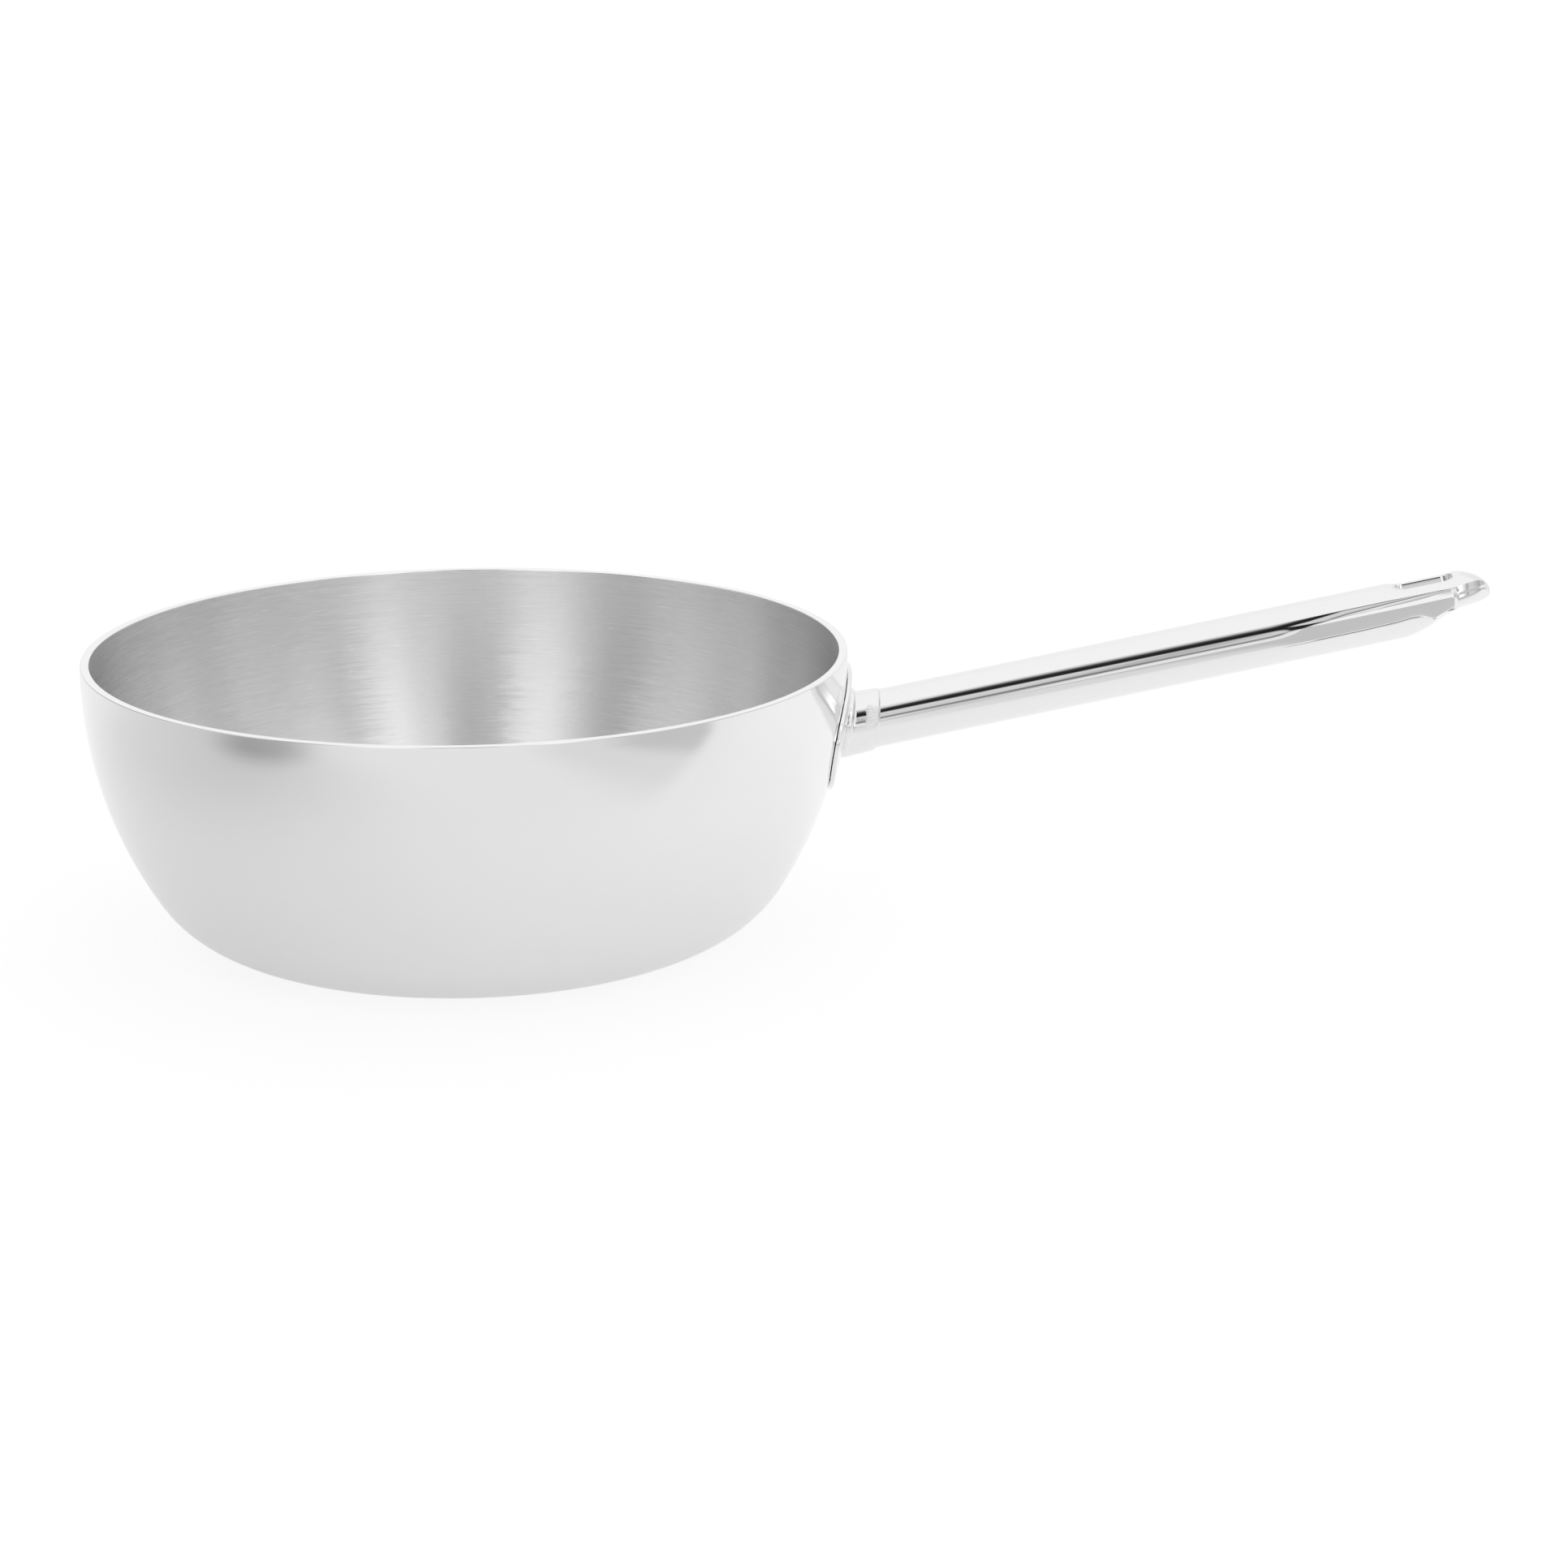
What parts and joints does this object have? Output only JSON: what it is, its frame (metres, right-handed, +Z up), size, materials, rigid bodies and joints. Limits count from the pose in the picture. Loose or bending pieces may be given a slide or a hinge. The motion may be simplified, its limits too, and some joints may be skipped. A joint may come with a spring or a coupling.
{
  "type": "saucier pan",
  "caption": "Round-bottomed stainless saucier pan with a clad, sealed-rim bowl and one long tubular handle with a hanging slot.",
  "frame": {"origin": "centre of the flat base, on the surface the pan stands on", "axes": "+Z up through the bowl, +X from the bowl towards the handle's free end"},
  "size_m": [0.4564, 0.2458, 0.1133],
  "materials": {
    "satin_steel": "fine satin, turned",
    "brushed_steel": "brushed in rings",
    "polished_steel": "mirror polished stainless",
    "core_aluminium": "plain, hidden",
    "weld_steel": "ground weld"
  },
  "bodies": {
    "root": {"outer_shell": "satin_steel", "heat_core": "core_aluminium", "inner_liner": "brushed_steel", "wall_plate": "polished_steel", "plate_spot_welds": "weld_steel", "disc_weld": "weld_steel", "neck": "polished_steel", "neck_seam_weld": "weld_steel", "handle_tube": "polished_steel", "hang_eyelet": "polished_steel"}
  },
  "joints": []
}
